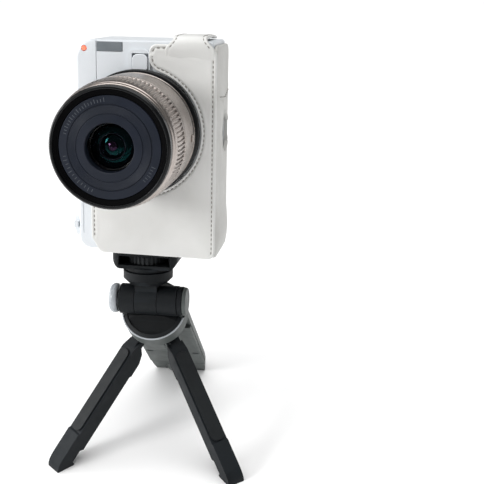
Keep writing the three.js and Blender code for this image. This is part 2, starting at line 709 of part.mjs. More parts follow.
// ---------------------------------------------------------------- half case
function caseBody() {
  const high = 118.8;
  const outline = roundedOutline([0.2, high], [-26.2, caseRight], [3.5, 3, 6, 3]);
  const front = slab('y', outline, [caseFront, caseFront + caseThick]);
  const bareCorner = block([-40, 6.9], [-30, 0], [lensHeight, 130]);
  const flapCorner = slab('y', roundedOutline([lensHeight, high], [6.9, 60], [0, 4, 0, 0]), [-30, 0]);
  const lensHole = rod('y', caseLensHole, [-40, 0], [0, lensHeight], fine);
  const flap = cut(front, bareCorner, lensHole).intersect(
    flapCorner.add(block([-60, 60], [-30, 0], [-5, lensHeight])));
  const profile = roundedOutline([caseFront, 22.3], [0.2, high], [3, 3, 6, 6]);
  const side = slab('x', profile, [caseRight - caseThick, caseRight]);
  const bottom = block([-22.5, caseRight - 2], [caseFront, 20.4], [0.2, 1.7]);
  const lip = block([35.4, caseRight], [20.9, 22.3], [2, high - 4]);
  const sideHole = rod('x', 10.8, [30, 60], socketAt, medium);
  const screwHole = rod('z', 5.8, [-5, 5], [0, 0], coarse);
  return cut(join(flap, side, bottom, lip), sideHole, screwHole);
}

const caseTab = () => slab(
  'y',
  roundedOutline([bodyHigh + gap, 123.4], [19, 38], [0, 2, 2, 0]),
  [-17, 15],
);

// ---------------------------------------------------------------- assembly
grip.add(
  piece('grip_head', gripHead(), blackPlastic()),
  piece('dome_cap', domeCap(), blackPlastic()),
  piece('trim_ring', trimRing(), silver()),
  piece('grip_collar', gripCollar(), greyPlastic()),
  piece('leg_block', legBlock(), greyPlastic()),
  piece('rear_shell', rearShell(), greyPlastic()),
  piece('rear_cover', rearCover(), greyPlastic()),
  piece('end_band', endBand(), blackPlastic()),
  piece('heel_foot', heelFoot(), blackRubber()),
  piece('hinge_bolt', hingeBolt(), blackPlastic()),
  piece('hinge_end_cap', rod('x', 8.7, [19, 21], hingeAt, medium, 8.1), greyPlastic()),
  piece('lock_button', lockButton().translate(0, ...hingeAt), silver()),
  piece('remote_body', remoteBody(), greyPlastic()),
  piece('remote_shutter', block([-4.9, 4.9], [17.6, 20], [-34.9, -25.1]), silver()),
  piece('remote_rocker', block([-3.9, 3.9], [17.6, 20], [-51.9, -44.1]), silver()),
);

for (const [name, side] of [['left', -1], ['right', 1]]) {
  const leg = legFrame(side);
  leg.frame.add(
    piece(`${name}_leg`, legSolid(leg), blackPlastic()),
    piece(`${name}_leg_pad`, legPad(), blackRubber()),
    piece(`${name}_leg_pin`, pinRod(leg.pinAxis, 2, [-6.5, 5.2], coarse), steel()),
  );
  root.add(leg.frame);
}

head.add(piece('tilt_knuckle', tiltKnuckle(), blackPlastic()));

turntable.add(
  piece('platform', platform(), blackPlastic()),
  piece('platform_pad', platformPad(), blackRubber()),
  piece('thumbwheel', thumbwheel(), blackPlastic()),
  piece('camera_screw', cameraScrew(), steel()),
);

camera.add(
  piece('camera_front', cameraFront(), whitePlastic()),
  piece('camera_back', cameraBack(), whitePlastic()),
  piece('top_plate', topPlate(), whitePlastic()),
  piece('base_plate', basePlate(), greyPlastic()),
  piece('battery_door', batteryDoor(), whitePlastic()),
  piece('battery', battery(), blackPlastic()),
  piece('main_board', mainBoard(), finish(0x1f5f3a, 0.6)),
  piece('sensor_unit', sensorUnit(), finish(0x2b4a46, 0.2)),
  piece('shutter_unit', shutterUnit(), blackPlastic()),
  piece('mount_ring', mountRing(), steel()),
  piece('badge_plate', badgePlate(), finish(0x848a8e, 0.4, 0.5)),
  piece('tally_lamp', tallyLamp(), finish(0xff8c6e, 0.3)),
  piece('accessory_shoe', accessoryShoe(), steel()),
  piece('zoom_lever', zoomLever(), whitePlastic()),
  piece('shutter_button', shutterButton(), silver()),
  piece('mode_dial', modeDial(), whitePlastic()),
  piece('record_button', recordButton(), finish(0xc23b32, 0.4)),
  piece('control_dial', controlDial(), whitePlastic()),
  piece('release_button', releaseButton(), whitePlastic()),
  piece('screen_panel', screenPanel(), blackPlastic()),
  piece('screen_arm', screenArm(), blackPlastic()),
  piece('control_pad', controlPad(), blackPlastic()),
  piece('menu_button', menuButton(), blackPlastic()),
  piece('grip_socket', gripSocket(), steel()),
  piece('lens_base_ring', lensBaseRing(), silver()),
  piece('lens_barrel', cut(lensBarrel(), switchRoom()), silver()),
  piece('control_ring', controlRing(), silver()),
  piece('front_ring', frontRing(), blackPlastic()),
  piece('name_ring', nameRing(), blackPlastic()),
  piece('front_element', frontElement(), glass()),
  piece('lens_sleeve', lensSleeve(), blackPlastic()),
  piece('lens_switch', lensSwitch(), greyPlastic()),
  piece('case_body', caseBody(), leather()),
  piece('case_tab', caseTab(), leather()),
);

// The origin is the middle of the base: under the centre of the object, on the floor.
root.updateMatrixWorld(true);
const extent = new THREE.Box3().setFromObject(root, true);
root.position.x = -(extent.min.x + extent.max.x) / 2;
root.position.y = -(extent.min.y + extent.max.y) / 2;
root.updateMatrixWorld(true);

export default root;
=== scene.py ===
import json
import math

import bmesh
import bpy
import numpy as np
from mathutils import Matrix, Vector, noise


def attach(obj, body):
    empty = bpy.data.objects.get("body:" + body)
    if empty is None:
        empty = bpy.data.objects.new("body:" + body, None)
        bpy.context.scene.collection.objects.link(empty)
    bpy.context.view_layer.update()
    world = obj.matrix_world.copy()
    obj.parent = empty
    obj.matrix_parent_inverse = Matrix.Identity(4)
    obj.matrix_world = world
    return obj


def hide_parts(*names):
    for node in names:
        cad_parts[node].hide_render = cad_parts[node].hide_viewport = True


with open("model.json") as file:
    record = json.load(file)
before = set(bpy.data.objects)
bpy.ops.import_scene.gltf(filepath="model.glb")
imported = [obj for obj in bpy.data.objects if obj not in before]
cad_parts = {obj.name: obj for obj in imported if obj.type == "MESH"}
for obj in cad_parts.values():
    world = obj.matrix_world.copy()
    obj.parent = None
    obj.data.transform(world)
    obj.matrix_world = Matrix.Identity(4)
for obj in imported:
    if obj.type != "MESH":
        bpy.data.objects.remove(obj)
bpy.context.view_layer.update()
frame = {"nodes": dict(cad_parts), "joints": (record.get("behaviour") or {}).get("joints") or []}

# ---------------------------------------------------------------- frames
# Local shapes are written in millimetres, in the same local frames as the CAD source.
MM = 0.001
JOINTS = {joint["name"]: joint for joint in frame["joints"]}


def local_frame(origin, up):
    """Millimetres in a frame whose x is the row's x and whose z is `up`, as metres in the row frame."""
    z = Vector(up).normalized()
    x = Vector((1, 0, 0))
    matrix = Matrix((x, z.cross(x), z)).transposed().to_4x4()
    matrix.translation = origin
    return matrix @ Matrix.Scale(MM, 4)


PLATFORM_TOP = 33.5 * MM  # above the tilt axis, along the pan axis
pan_up = Vector(JOINTS["pan"]["axis"])
pan_at = Vector(JOINTS["pan"]["pos_m"])
CAMERA = local_frame(pan_at + pan_up * PLATFORM_TOP, pan_up)

hinge_at = Vector(JOINTS["head_tilt"]["pos_m"])
HINGE = Matrix.Translation(hinge_at) @ Matrix.Scale(MM, 4)
GRIP_SLOPE = math.radians(50)
GRIP = local_frame(
    hinge_at + Vector((0, 0.5, -6.7)) * MM, (0, -math.cos(GRIP_SLOPE), math.sin(GRIP_SLOPE))
)

LENS_HEIGHT = 70.7  # lens axis above the platform
LENS = CAMERA @ Matrix.Translation((0, 0, LENS_HEIGHT))

# ---------------------------------------------------------------- materials
def linear(red, green, blue):
    """An sRGB colour, 0 to 255, as linear light."""
    def one(value):
        value /= 255
        return value / 12.92 if value <= 0.04045 else ((value + 0.055) / 1.055) ** 2.4
    return (one(red), one(green), one(blue), 1.0)


COLOUR_A, COLOUR_B, COLOUR_RESULT = 6, 7, 2  # a Mix node's sockets for colour
HIGHLIT_EDGE = (0.52, 0.60)  # pointiness from which an edge gets the painted highlight, and where it is full


class Finish:
    """A Principled material with procedural colour drift, roughness drift and bump."""

    def __init__(self, name, **sockets):
        self.material = bpy.data.materials.new(name)
        self.material.use_nodes = True
        self.tree = self.material.node_tree
        self.shader = self.tree.nodes["Principled BSDF"]
        self.coordinates = self.add("ShaderNodeTexCoord").outputs["Object"]
        self.last_normal = None
        for socket, value in sockets.items():
            self.shader.inputs[socket.replace("_", " ")].default_value = value

    def add(self, kind, **inputs):
        node = self.tree.nodes.new(kind)
        for socket, value in inputs.items():
            node.inputs[socket.replace("_", " ")].default_value = value
        return node

    def link(self, output, target):
        self.tree.links.new(output, target)

    def noise(self, size, detail=3.0, stretch=None, turn=0.0):
        """Noise whose lumps are about `size` millimetres, optionally squeezed along one local axis."""
        texture = self.add("ShaderNodeTexNoise", Scale=1 / (size * MM), Detail=detail)
        place = self.coordinates
        if stretch:
            mapping = self.add("ShaderNodeMapping")
            mapping.inputs["Scale"].default_value = stretch
            mapping.inputs["Rotation"].default_value = (turn, 0, 0)
            self.link(place, mapping.inputs["Vector"])
            place = mapping.outputs["Vector"]
        self.link(place, texture.inputs["Vector"])
        return texture.outputs["Fac"]

    def cells(self, size):
        texture = self.add("ShaderNodeTexVoronoi", Scale=1 / (size * MM))
        self.link(self.coordinates, texture.inputs["Vector"])
        return texture.outputs["Distance"]

    def ranged(self, value, low, high, start=0.3, end=0.7):
        node = self.add("ShaderNodeMapRange", From_Min=start, From_Max=end, To_Min=low, To_Max=high)
        self.link(value, node.inputs["Value"])
        return node.outputs["Result"]

    def colours(self, value, first, second):
        """Base colour that drifts between two colours as `value` does."""
        mix = self.add("ShaderNodeMix")
        mix.data_type = "RGBA"
        mix.inputs[COLOUR_A].default_value = first
        mix.inputs[COLOUR_B].default_value = second
        self.link(self.ranged(value, 0, 1), mix.inputs["Factor"])
        self.link(mix.outputs[COLOUR_RESULT], self.shader.inputs["Base Color"])
        return self

    def add_edge_highlight(self, colour, share):
        """Painted highlight: a lighter colour on sharp edges, mixed over the colour that is there."""
        source = self.shader.inputs["Base Color"].links[0].from_socket
        edges = self.ranged(self.add("ShaderNodeNewGeometry").outputs["Pointiness"], 0, share, *HIGHLIT_EDGE)
        mix = self.add("ShaderNodeMix")
        mix.data_type = "RGBA"
        mix.inputs[COLOUR_B].default_value = colour
        self.link(source, mix.inputs[COLOUR_A])
        self.link(edges, mix.inputs["Factor"])
        self.link(mix.outputs[COLOUR_RESULT], self.shader.inputs["Base Color"])
        return self

    def rough(self, value, low, high):
        self.link(self.ranged(value, low, high), self.shader.inputs["Roughness"])
        return self

    def bump(self, height, depth, strength):
        """Relief of about `depth` millimetres, on top of any relief added before it."""
        node = self.add("ShaderNodeBump", Strength=strength, Distance=depth * MM)
        self.link(height, node.inputs["Height"])
        if self.last_normal:
            self.link(self.last_normal, node.inputs["Normal"])
        self.last_normal = node.outputs["Normal"]
        self.link(self.last_normal, self.shader.inputs["Normal"])
        return self


def moulded(name, first, second, rough, grain=0.35, depth=0.02, edge_highlight=None, **sockets):
    """Moulded plastic or rubber: fine spark-eroded grain, slow colour and gloss drift, and an optional
    painted highlight on sharp edges.
    """
    f = Finish(name, **sockets)
    f.colours(f.noise(14), first, second)
    if edge_highlight:
        f.add_edge_highlight(edge_highlight, 0.35)
    f.rough(f.noise(6, 5), *rough)
    return f.bump(f.noise(grain, 4), depth, 0.6).bump(f.noise(9, 2), 0.05, 0.15)


def brushed(name, first, second, rough, stretch, turn=0.0):
    """Turned or drawn metal: fine lines along one direction."""
    f = Finish(name, Metallic=1.0)
    lines = f.noise(1.0, 2, stretch, turn)
    f.colours(f.noise(10), first, second)
    f.rough(lines, *rough)
    return f.bump(lines, 0.006, 0.5)


LENS_TURN = math.radians(11.2)  # lens axis from the row's y, about x
ROUND_THE_LENS = ((0.5, 9.0, 0.5), LENS_TURN)


def leather_finish(name, first, second):
    f = Finish(name, Specular_IOR_Level=0.45, Sheen_Weight=0.08, Sheen_Roughness=0.5)
    f.colours(f.noise(22, 3), first, second)
    f.rough(f.noise(3, 4), 0.40, 0.56)
    f.bump(f.cells(0.85), 0.045, 0.35)
    f.bump(f.noise(0.4, 3), 0.02, 0.4)
    return f.bump(f.noise(7, 4), 0.22, 0.25)


def make_materials():
    m = {}
    m["white"] = moulded("satin_white_plastic", linear(222, 226, 230), linear(216, 221, 225), (0.30, 0.42),
                         grain=0.5, depth=0.008, Specular_IOR_Level=0.4)
    # The black and grey plastics carry a painted highlight: a lighter colour on their sharp edges.
    m["black"] = moulded("textured_black_plastic", linear(6, 9, 11), linear(10, 13, 16), (0.50, 0.62),
                         edge_highlight=linear(40, 46, 51), Specular_IOR_Level=0.2)
    m["handle"] = moulded("textured_grey_plastic", linear(80, 85, 84), linear(72, 77, 76), (0.45, 0.6),
                          edge_highlight=linear(125, 130, 128), Specular_IOR_Level=0.35)
    m["rubber"] = moulded("soft_rubber", linear(14, 18, 21), linear(19, 23, 26), (0.52, 0.66), grain=0.25,
                          depth=0.03, Specular_IOR_Level=0.3)
    m["lens_black"] = moulded("lens_black", linear(4, 5, 7), linear(7, 9, 11), (0.22, 0.34), grain=0.6,
                              depth=0.006, Specular_IOR_Level=0.3)
    # A darker, barely reflective copy of the lens black: painted shade for the inner wall of the filter
    # thread.
    m["lens_black_painted_shade"] = moulded("lens_black_painted_shade", linear(1, 1, 2), linear(3, 3, 4), (0.5, 0.6), grain=0.6,
                              depth=0.006, Specular_IOR_Level=0.04)
    m["lens_face"] = moulded("lens_face_black", linear(23, 28, 38), linear(28, 33, 44), (0.36, 0.48),
                             grain=0.5, depth=0.006, Specular_IOR_Level=0.2)
    m["barrel"] = brushed("champagne_metal", linear(186, 178, 173), linear(172, 161, 154), (0.24, 0.40),
                          *ROUND_THE_LENS)
    m["bright"] = brushed("bright_plating", linear(228, 230, 232), linear(214, 217, 220), (0.14, 0.26),
                          (9, 0.5, 0.5))
    m["steel"] = brushed("plain_steel", linear(176, 180, 184), linear(160, 164, 168), (0.28, 0.42),
                         (0.6, 8, 0.6))
    m["badge"] = brushed("badge_metal", linear(138, 144, 149), linear(128, 134, 139), (0.35, 0.5),
                         (8, 1, 1))
    m["leather"] = leather_finish("white_leather", linear(222, 222, 220), linear(214, 214, 211))
    # A darker copy of the white leather: painted shade for the side, bottom and back-lip panels, which face
    # away from the lights.
    m["leather_side"] = leather_finish("white_leather_side", linear(198, 198, 194), linear(188, 187, 183))
    m["thread"] = moulded("sewing_thread", linear(150, 146, 140), linear(128, 125, 120), (0.6, 0.75),
                          grain=0.15, depth=0.05)
    m["circuit"] = moulded("circuit_board", linear(24, 84, 52), linear(20, 70, 44), (0.35, 0.5), grain=1.5,
                           depth=0.03)
    m["sensor"] = moulded("sensor_filter", linear(40, 70, 72), linear(52, 60, 88), (0.06, 0.12), grain=3,
                          depth=0.002, Coat_Weight=1.0)
    m["lamp"] = moulded("lamp_window", linear(255, 138, 104), linear(255, 158, 130), (0.15, 0.25),
                        grain=0.8, depth=0.01, Coat_Weight=0.6, Emission_Color=linear(255, 110, 80),
                        Emission_Strength=0.35)
    m["red"] = moulded("record_red", linear(196, 52, 44), linear(180, 44, 38), (0.25, 0.35), grain=0.8,
                       depth=0.006)
    m["screen"] = moulded("screen_glass", linear(9, 11, 14), linear(13, 15, 19), (0.05, 0.09), grain=8,
                          depth=0.003, Coat_Weight=1.0)
    m["knob"] = moulded("satin_silver_paint", linear(172, 177, 182), linear(158, 163, 168), (0.2, 0.32),
                        grain=0.4, depth=0.006, Specular_IOR_Level=0.7)
    m["mark"] = moulded("grey_marking", linear(72, 77, 84), linear(62, 67, 74), (0.5, 0.6), grain=0.5,
                        depth=0.004)
    m["glass"] = lens_glass("coated_front_glass")
    m["inner_glass"] = inner_coating("teal_coated_glass", linear(70, 190, 192))
    m["deep_glass"] = inner_coating("violet_coated_glass", linear(232, 170, 245))
    return {key: value.material for key, value in m.items()}


def lens_glass(name):
    """Clear coated glass: the tinted reflections come from the elements behind it."""
    f = Finish(name, Alpha=0.15, IOR=1.52, Specular_IOR_Level=0.02, Specular_Tint=linear(110, 200, 206))
    f.colours(f.noise(6), linear(2, 4, 5), linear(5, 4, 7))
    return f.rough(f.noise(4), 0.02, 0.05)


def inner_coating(name, tint):
    """A deep element seen through the front one: nearly black, with a coloured reflection."""
    f = Finish(name, IOR=1.6, Specular_IOR_Level=0.4, Specular_Tint=tint)
    f.colours(f.noise(8, 1), linear(5, 8, 11), linear(9, 7, 12))
    return f.rough(f.noise(5), 0.02, 0.07)


M = make_materials()

# ---------------------------------------------------------------- mesh helpers
SAME_POINT = 1e-7  # metres
ON_AXIS = 1e-6  # a radius below this is on the axis, in millimetres


def new_piece(name, vertices, faces, place, body, material, stands_for=(), slot=None):
    """A smooth-shaded mesh from local millimetres, riding on a body."""
    mesh = bpy.data.meshes.new(name)
    mesh.from_pydata([tuple(v) for v in vertices], [], [tuple(f) for f in faces])
    mesh.transform(place)
    tidy = bmesh.new()
    tidy.from_mesh(mesh)
    bmesh.ops.remove_doubles(tidy, verts=tidy.verts, dist=SAME_POINT)
    bmesh.ops.recalc_face_normals(tidy, faces=tidy.faces)
    tidy.to_mesh(mesh)
    tidy.free()
    mesh.shade_smooth()
    mesh.materials.append(material)
    made = bpy.data.objects.new(name, mesh)
    bpy.context.scene.collection.objects.link(made)
    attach(made, body)
    if stands_for:
        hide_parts(*stands_for)
    return made


def weigh_normals(made):
    modifier = made.modifiers.new("even_shading", "WEIGHTED_NORMAL")
    modifier.keep_sharp = True


def rounded(points, radius, steps=3):
    """A closed profile with each corner eased by a short curve."""
    eased = []
    corners = [np.array(p, float) for p in points]
    for i, corner in enumerate(corners):
        before, after = corners[i - 1], corners[(i + 1) % len(corners)]
        reach = min(radius, 0.45 * np.linalg.norm(before - corner), 0.45 * np.linalg.norm(after - corner))
        if corner[0] < ON_AXIS or reach < 1e-4:
            eased.append(tuple(corner))
            continue
        start = corner + (before - corner) / np.linalg.norm(before - corner) * reach
        end = corner + (after - corner) / np.linalg.norm(after - corner) * reach
        for step in range(steps + 1):
            t = step / steps
            eased.append(tuple((1 - t) ** 2 * start + 2 * t * (1 - t) * corner + t * t * end))
    return eased


def turned(profile, sides=144, ripple=None):
    """Vertices and faces of a closed [radius, along] profile turned about the y axis.
    ripple(radius, along, angle) gives an extra radius."""
    vertices, faces = [], []
    count = len(profile)
    for i in range(sides):
        angle = 2 * math.pi * i / sides
        for radius, along in profile:
            r = radius + (ripple(radius, along, angle) if ripple else 0)
            vertices.append((r * math.cos(angle), along, r * math.sin(angle)))
    for i in range(sides):
        for j in range(count):
            k = (j + 1) % count
            n = (i + 1) % sides
            if profile[j][0] < ON_AXIS and profile[k][0] < ON_AXIS:
                continue
            faces.append((i * count + j, i * count + k, n * count + k, n * count + j))
    return vertices, faces


def lens_piece(name, profile, material, stands_for=(), slot=None, ease=0.18, **more):
    """A turned piece on the lens axis, with its [radius, along] corners eased."""
    vertices, faces = turned(rounded(profile, ease), **more)
    weigh_normals(new_piece(name, vertices, faces, LENS, "camera", material, stands_for, slot))


def ring_faces(rings, count, first=0):
    """Quads between successive rings of `count` vertices each."""
    faces = []
    for ring in range(rings - 1):
        here = first + ring * count
        there = here + count
        for j in range(count):
            k = (j + 1) % count
            faces.append((here + j, here + k, there + k, there + j))
    return faces


def backed_faces(rows, columns, closed=False):
    """Quads over a grid of vertices and, facing the other way, over a second grid that follows it.
    A closed grid's last row joins its first."""
    total = rows * columns
    faces = []
    for i in range(rows if closed else rows - 1):
        n = (i + 1) % rows
        for j in range(columns - 1):
            a, b, c, d = i * columns + j, n * columns + j, n * columns + j + 1, i * columns + j + 1
            faces += [(a, b, c, d), (a + total, d + total, c + total, b + total)]
    return faces


def add_bar(vertices, faces, ends, offsets, along, across):
    """A small bar added to a mesh, between two ends along one direction and `across` to each side of it.
    Its two broad sides are moved by the offsets."""
    s = len(vertices)
    for offset in offsets:
        for reach, side in ((ends[0], -1), (ends[1], -1), (ends[1], 1), (ends[0], 1)):
            vertices.append(along * reach + across * side + offset)
    faces += [(s, s + 1, s + 2, s + 3), (s + 4, s + 7, s + 6, s + 5)]
    faces += [(s + i, s + (i + 1) % 4, s + 4 + (i + 1) % 4, s + 4 + i) for i in range(4)]


# ---------------------------------------------------------------- CAD nodes that stay
NODE_LOOKS = {
    "white": ["camera_front", "camera_back", "top_plate", "battery_door", "zoom_lever", "mode_dial",
              "control_dial", "release_button", "shutter_button"],
    "black": ["grip_head", "dome_cap", "hinge_bolt", "left_leg", "right_leg", "tilt_knuckle",
              "platform", "battery", "shutter_unit", "screen_panel", "screen_arm",
              "control_pad", "menu_button", "lens_sleeve", "front_ring", "name_ring"],
    "handle": ["end_band", "grip_collar", "leg_block", "rear_shell", "rear_cover", "hinge_end_cap",
               "remote_body", "heel_foot"],
    "bright": ["trim_ring", "lock_button", "remote_shutter", "remote_rocker"],
    "steel": ["base_plate", "left_leg_pin", "right_leg_pin", "camera_screw", "mount_ring", "accessory_shoe",
              "grip_socket"],
    "badge": ["badge_plate"],
    "barrel": ["lens_base_ring", "lens_barrel", "control_ring", "lens_switch"],
    "rubber": ["left_leg_pad", "right_leg_pad", "platform_pad", "thumbwheel"],
    "circuit": ["main_board"],
    "sensor": ["sensor_unit"],
    "glass": ["front_element"],
    "lamp": ["tally_lamp"],
    "red": ["record_button"],
    "leather": ["case_body", "case_tab"],
}
EDGE_WIDTHS = {"thumbwheel": 0.2, "rear_shell": 0.8, "rear_cover": 0.8, "end_band": 0.8, "heel_foot": 1.2,
               "badge_plate": 0.1, "left_leg": 1.3, "right_leg": 1.3, "platform": 1.2, "mode_dial": 0.2,
               "control_dial": 0.2, "zoom_lever": 0.35, "screen_panel": 0.4, "trim_ring": 0.1}
USUAL_EDGE = 0.3
WELD_WITHIN = 2e-6  # metres
SHARP_ANGLE = math.radians(32)
FLAT_ANGLE = math.radians(1)


def soften(node, width):
    """Shading and eased edges for a CAD node, by modifiers only."""
    for name in ("custom_normal", "sharp_edge", "sharp_face"):
        attribute = node.data.attributes.get(name)
        if attribute:
            node.data.attributes.remove(attribute)
    weld = node.modifiers.new("weld", "WELD")
    weld.merge_threshold = WELD_WITHIN
    flat = node.modifiers.new("flat_faces", "DECIMATE")
    flat.decimate_type = "DISSOLVE"
    flat.angle_limit = FLAT_ANGLE
    bevel = node.modifiers.new("eased_edges", "BEVEL")
    bevel.width = width * MM
    bevel.segments = 2
    bevel.limit_method = "ANGLE"
    bevel.angle_limit = SHARP_ANGLE
    bevel.use_clamp_overlap = True
    weigh_normals(node)


for look, names in NODE_LOOKS.items():
    for node_name in names:
        node = frame["nodes"][node_name]
        node.data.materials.clear()
        node.data.materials.append(M[look])
        soften(node, EDGE_WIDTHS.get(node_name, USUAL_EDGE))

# ---------------------------------------------------------------- lens
# Places are [radius, along], in millimetres. Along the lens axis, the front is at the lowest number.
RIM_FRONT = -85.9
FACE_FRONT = -85.0
CORE_RADIUS = 30.6  # inside of the barrel's outer tubes
LENS_RADIUS = 33.4
RIB_COUNT = 90
RIB_SPAN = (-75.6, -60.6)
RIB_DEPTH = 0.8
GLASS_RADIUS = 12.3
GLASS_FRONT = -83.9
GLASS_SAG = 3.1
ELEMENTS_BACK = -75.0


def barrel_radius(along):
    """The barrel widens a little behind the black front ring."""
    return float(np.interp(along, (-81.5, -79.0, -75.0, -70.0), (31.2, 31.9, 32.8, LENS_RADIUS)))


def make_front_ring():
    sleeve = [(29.1, -79.6), (29.1, RIM_FRONT + 0.15), (29.35, RIM_FRONT), (30.2, RIM_FRONT), (31.0, -85.1),
              (31.15, -81.7), (30.4, -81.5), (30.4, -79.6)]
    lens_piece("filter_ring", sleeve, M["lens_black"], ["front_ring"], "black_plastic", ease=0.2)
    turns = [(28.9 - 0.27 * k, -85.7 + 0.12 * k + 0.14 * (k % 2)) for k in range(9)]
    thread = [(26.3, -79.6), (26.3, -84.5), *turns[::-1], (28.95, -79.6)]
    # The thread's inner wall takes the painted-shade copy of the lens black.
    lens_piece("filter_thread", thread, M["lens_black_painted_shade"], slot="black_plastic", ease=0.1)
    cone = [(CORE_RADIUS, -81.2), (31.1, -81.5), (31.45, -81.2), (31.85, -79.5), (CORE_RADIUS, -79.5)]
    lens_piece("front_cone", cone, M["barrel"], slot="lens_metal", ease=0.12)


def make_lens_face():
    """The black face round the glass, with a band of fine grooves and two lines."""
    grooves = [(17.6 + 0.17 * k, FACE_FRONT - 0.02 + 0.13 * (k % 2)) for k in range(20)]
    face = [(12.5, -78.4), (12.5, FACE_FRONT - 0.1), (12.9, -85.45), (16.7, FACE_FRONT - 0.2),
            (16.9, -84.8), (17.2, -84.8), (17.4, FACE_FRONT - 0.02), *grooves, (21.1, FACE_FRONT),
            (21.25, -84.5), (21.7, -84.5), (21.85, -84.85), (25.8, -84.7), (26.0, -84.5), (26.0, -79.2),
            (20, -78.4)]
    lens_piece("lens_face", face, M["lens_face"], ["name_ring"], "black_plastic", ease=0.07)


def ribs(radius, along, angle):
    """Extra radius that cuts narrow slots round the control ring."""
    if radius < CORE_RADIUS + 0.4 or not RIB_SPAN[0] <= along <= RIB_SPAN[1]:
        return 0
    return 0.0 if math.cos(angle * RIB_COUNT) > 0.1 else -RIB_DEPTH


def make_barrel():
    steps = (-79.2, -77.5, RIB_SPAN[0] - 0.15, RIB_SPAN[0], -72, -68, RIB_SPAN[1], RIB_SPAN[1] + 0.15,
             -58.2)
    outside = [(barrel_radius(along), along) for along in steps]
    tube = [(CORE_RADIUS, -79.2), *outside, (33.1, -57.8), (CORE_RADIUS, -57.8)]
    vertices, faces = turned(tube, sides=RIB_COUNT * 8, ripple=ribs)
    weigh_normals(new_piece("ribbed_ring", vertices, faces, LENS, "control_ring", M["barrel"],
                            ["control_ring"], "lens_metal"))

    tube = [(CORE_RADIUS, -57.4), (33.1, -57.4), (LENS_RADIUS, -57.0), (LENS_RADIUS, -35.9), (32.9, -35.5),
            (CORE_RADIUS, -35.5)]
    lens_piece("barrel_tube", tube, M["barrel"], ["lens_barrel"], "lens_metal")
    band = [(CORE_RADIUS, -35.3), (32.9, -35.3), (33.0, -35.1), (33.0, -32.4), (32.4, -32.2), (32.4, -31.4),
            (CORE_RADIUS, -31.4)]
    lens_piece("barrel_band", band, M["lens_black"], slot="black_plastic", ease=0.12)
    line = [(CORE_RADIUS, -31.2), (32.9, -31.2), (33.2, -31.0), (33.2, -30.2), (32.9, -30.0),
            (CORE_RADIUS, -30.0)]
    lens_piece("barrel_line", line, M["barrel"], slot="lens_metal", ease=0.12)
    base = [(29, -29.8), (32.4, -29.8), (32.6, -29.6), (32.6, -27.0), (34.1, -26.5), (34.5, -25.8),
            (34.5, -22.2), (29, -22.2)]
    lens_piece("base_ring", base, M["lens_black"], ["lens_base_ring"], "black_plastic", ease=0.2)


def cap(front, curve, first, last, count):
    """Profile points of an element's front, each moved back by its radius squared over `curve`."""
    return [(r, front + r ** 2 / curve) for r in np.linspace(first, last, count)]


def make_glass():
    """The clear front element, and the dark elements and rings that show through it."""
    dome = [(r, GLASS_FRONT + GLASS_SAG * (r / GLASS_RADIUS) ** 2)
            for r in np.linspace(1, GLASS_RADIUS, 14)]
    back = [(GLASS_RADIUS, -79.4), (8, -80.2), (4, -80.7), (0, -80.9)]
    lens_piece("front_glass", [(0, GLASS_FRONT), *dome, *back], M["glass"], ["front_element"], "lens_glass",
               ease=0)
    baffles = [(12.4, -79.2), (11.9, -79.2), (11.8, -78.9), (11.4, -78.7), (11.3, -78.9), (11.2, -78.7),
               (11.2, ELEMENTS_BACK), (12.4, ELEMENTS_BACK)]
    lens_piece("inner_baffles", baffles, M["lens_black"], slot="black_plastic", ease=0.1)
    rim = [(6.45, -79.6), (6.8, -79.6), (6.8, ELEMENTS_BACK), (6.45, ELEMENTS_BACK)]
    lens_piece("element_rim", rim, M["lens_face"], slot="black_plastic", ease=0.1)
    middle = [*cap(-80.3, 62, 6.9, 11.1, 8), (11.1, ELEMENTS_BACK), (6.9, ELEMENTS_BACK)]
    lens_piece("middle_glass", middle, M["inner_glass"], slot="lens_glass", ease=0)
    inner = [(0, -78.6), *cap(-78.6, 27.2, 1, 6.35, 9), (6.35, ELEMENTS_BACK), (0, ELEMENTS_BACK)]
    lens_piece("inner_glass", inner, M["inner_glass"], slot="lens_glass", ease=0)
    pupil = [(0, -79.75), *cap(-79.75, 9, 0.6, 2.6, 6), (2.6, -78.75), (0, -78.75)]
    lens_piece("pupil_glass", pupil, M["deep_glass"], slot="lens_glass", ease=0, sides=72)


MARK_HALF = 0.16  # half the width of an index line
MARK_RADIUS = 22.8
MARK_SPANS = ((96, 168, 4), (192, 252, 5), (318, 342, 4))  # first, last and step, in degrees


def make_lens_marks():
    """Short index lines on the lens face."""
    vertices, faces = [], []
    offsets = np.array(((0, -84.6, 0), (0, -84.9, 0)))
    for first, last, step in MARK_SPANS:
        for degrees in range(first, last, step):
            angle = math.radians(degrees)
            length = 1.5 if (degrees // step) % 3 else 2.1
            along = np.array((math.cos(angle), 0, math.sin(angle)))
            across = np.array((-math.sin(angle), 0, math.cos(angle))) * MARK_HALF
            add_bar(vertices, faces, (MARK_RADIUS, MARK_RADIUS + length), offsets, along, across)
    made = new_piece("face_index_marks", vertices, faces, LENS, "camera", M["mark"], slot="black_plastic")
    made.data.shade_flat()


make_front_ring()
make_lens_face()
make_barrel()
make_glass()
make_lens_marks()

# ---------------------------------------------------------------- grip: trim ring and lock knob
def swept_arc(profile, start, end, steps):
    """A closed [radius, height] profile swept part of the way round the z axis, with flat ends."""
    angles = np.radians(np.linspace(start, end, steps + 1))
    count = len(profile)
    vertices = [(r * math.cos(a), r * math.sin(a), z) for a in angles for r, z in profile]
    faces = ring_faces(steps + 1, count)
    faces += [tuple(range(count)), tuple(steps * count + j for j in range(count))]
    return vertices, faces


